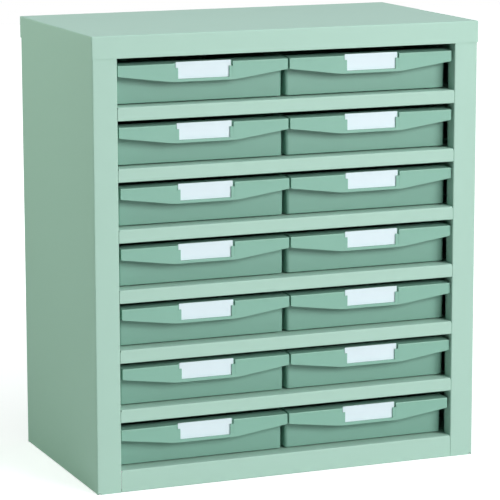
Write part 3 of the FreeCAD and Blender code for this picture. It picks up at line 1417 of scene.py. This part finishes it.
@dataclass(frozen=True)
class Studio:
    """Pale floor, plain soft light and the camera at the photograph's viewing angle."""

    # Camera, fitted to the corners of the case; its angles are degrees
    frame_pixels: float = 500.0
    focal_pixels: float = 2628.2
    sensor_width: float = 36.0
    clip: tuple[float, float] = (0.05, 50.0)
    camera_place: Triple = (-1.3511, -3.3251, 0.9452)
    yaw: float = 22.175
    pitch: float = 10.455
    roll: float = -0.1
    # Floor, whose glow for the camera grows to full white between the two distances
    floor_half: float = 6.0
    floor_tone: float = 0.75
    floor_roughness: float = 0.9
    floor_glow: float = 0.62
    glow_near: float = 0.3
    glow_far: float = 1.7
    # Light
    ambient: float = 0.02
    lamps: tuple[Lamp, ...] = (
        Lamp("key", 28.0, 21.0, 5.5, 2.9, 1.9, 236.0),
        Lamp("top", 10.0, 80.0, 3.0, 2.1, 2.1, 36.0, (0.94, 1.0, 1.06)),
        Lamp("side", -94.0, 20.0, 1.5, 0.5, 0.9, 4.0, (0.95, 1.15, 0.93)),
        Lamp("back", -150.0, 12.0, 4.5, 2.0, 1.5, 28.0, (0.95, 1.1, 0.95)),
    )

    def build(self) -> None:
        """Set the stage, the light and the camera."""
        self._floor()
        self._world()
        low, high = cad_box
        for lamp in self.lamps:
            lamp.build((low + high) / 2.0)
        self._camera()
        bpy.context.scene.view_settings.view_transform = "Standard"

    def _floor(self) -> None:
        """Lay the floor, whose white fades in round the unit so that its shadow still shows."""
        edge = self.floor_half
        surface = Surface()
        surface.grid([[Vector((x, y, 0.0)) for x in (-edge, edge)] for y in (-edge, edge)])
        floor = surface.piece("floor", UP)
        material = bpy.data.materials.new("floor_paper")
        material.use_nodes = True
        maker = TreeMaker(material.node_tree)
        place = maker.node("ShaderNodeTexCoord").outputs["Object"]
        away = maker.node("ShaderNodeVectorMath", {0: place}, operation="LENGTH").outputs["Value"]
        limits = {"From Min": self.glow_near, "From Max": self.glow_far, "To Min": self.floor_glow}
        fade = maker.node(
            "ShaderNodeMapRange", {"Value": away, **limits}, interpolation_type="SMOOTHSTEP"
        ).outputs["Result"]
        seen = maker.node("ShaderNodeLightPath").outputs["Is Camera Ray"]
        paper = maker.node(
            "ShaderNodeBsdfPrincipled",
            {
                "Base Color": (self.floor_tone, self.floor_tone, self.floor_tone, 1.0),
                "Roughness": self.floor_roughness,
                "Emission Color": WHITE,
                "Emission Strength": maker.math("MULTIPLY", seen, fade),
            },
        )
        maker.node("ShaderNodeOutputMaterial", {"Surface": paper.outputs["BSDF"]})
        floor.data.materials.append(material)

    def _world(self) -> None:
        """Light from all round, with a white background for the camera and for gloss."""
        world = bpy.data.worlds.new("studio")
        world.use_nodes = True
        bpy.context.scene.world = world
        maker = TreeMaker(world.node_tree)
        path = maker.node("ShaderNodeLightPath").outputs
        seen = maker.math("MAXIMUM", path["Is Camera Ray"], path["Is Glossy Ray"])
        seen = maker.math("MAXIMUM", seen, path["Is Transmission Ray"])
        strength = maker.math("MULTIPLY_ADD", seen, 1.0 - self.ambient, self.ambient)
        sky = maker.node("ShaderNodeBackground", {"Color": WHITE, "Strength": strength})
        maker.node("ShaderNodeOutputWorld", {"Surface": sky.outputs["Background"]})

    def _camera(self) -> None:
        """Put the camera where the photograph was taken from."""
        yaw, pitch, roll = (math.radians(a) for a in (self.yaw, self.pitch, self.roll))
        data = bpy.data.cameras.new("camera")
        data.sensor_width = self.sensor_width
        data.lens = data.sensor_width * self.focal_pixels / self.frame_pixels
        data.clip_start, data.clip_end = self.clip
        camera = bpy.data.objects.new("camera", data)
        ahead = Vector((math.sin(yaw) * math.cos(pitch), math.cos(yaw) * math.cos(pitch), -math.sin(pitch)))
        right = Vector((math.cos(yaw), -math.sin(yaw), 0.0))
        up = right.cross(ahead)
        level = right * math.cos(roll) + up * math.sin(roll)
        upright = up * math.cos(roll) - right * math.sin(roll)
        turn = Matrix((level, upright, -ahead)).transposed().to_4x4()
        camera.matrix_world = Matrix.Translation(self.camera_place) @ turn
        bpy.context.scene.collection.objects.link(camera)
        bpy.context.scene.camera = camera


def main() -> None:
    """Build the unit piece by piece, then the studio round it."""
    logging.basicConfig(level=logging.INFO, format="%(name)s: %(message)s")
    finishes = Finishes()
    Case(finishes).build()
    Drawer(finishes).build()
    Studio().build()


if __name__ == "__main__":
    main()
